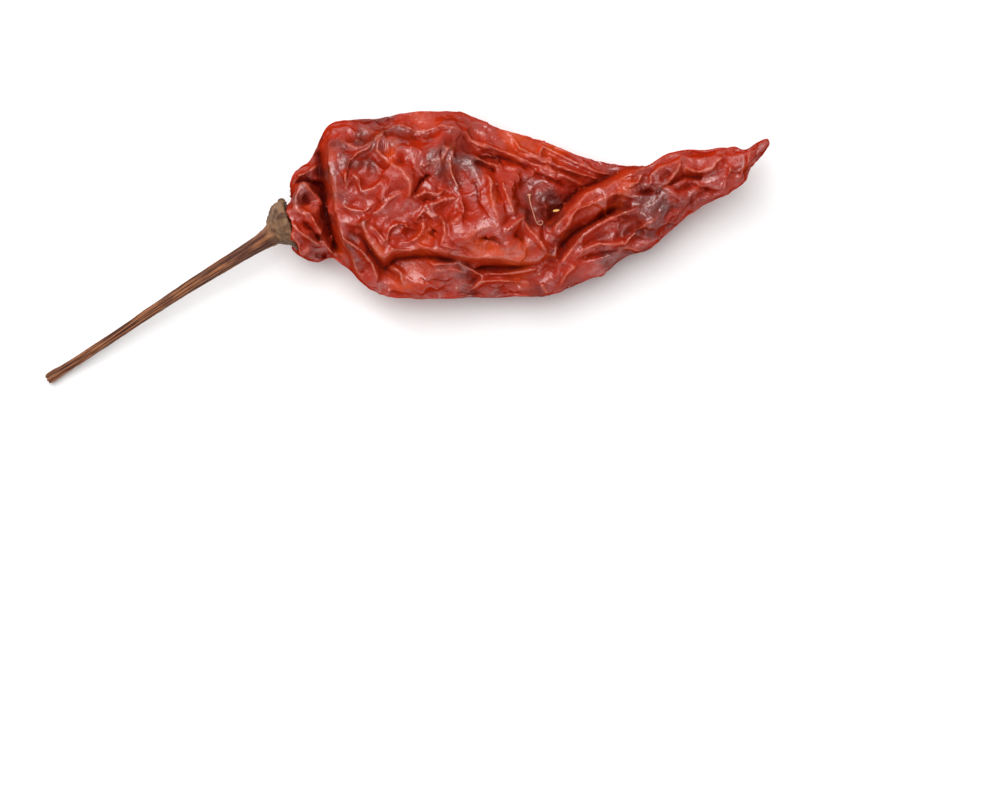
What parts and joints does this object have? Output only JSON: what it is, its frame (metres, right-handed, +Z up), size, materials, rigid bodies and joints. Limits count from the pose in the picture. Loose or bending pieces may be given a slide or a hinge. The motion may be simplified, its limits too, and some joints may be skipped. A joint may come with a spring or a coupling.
{
  "type": "dried chilli pepper",
  "caption": "Whole dried chilli pepper lying on its side: a shrivelled hollow pod with a pointed tip, and the stiff dry stem and calyx it hung from.",
  "frame": {"origin": "middle of the footprint, on the surface the pepper lies on", "axes": "+Z up; +X along the pepper, from its neck to its tip; the stem trails back from the neck towards -X and -Y"},
  "size_m": [0.097, 0.0366, 0.0145],
  "materials": {
    "dried_red_skin": "thin wrinkled dried skin with a waxy sheen",
    "dry_brown_stem": "dry fibrous stem, matte"
  },
  "bodies": {
    "root": {"pod": "dried_red_skin", "stem_and_calyx": "dry_brown_stem"}
  },
  "joints": []
}
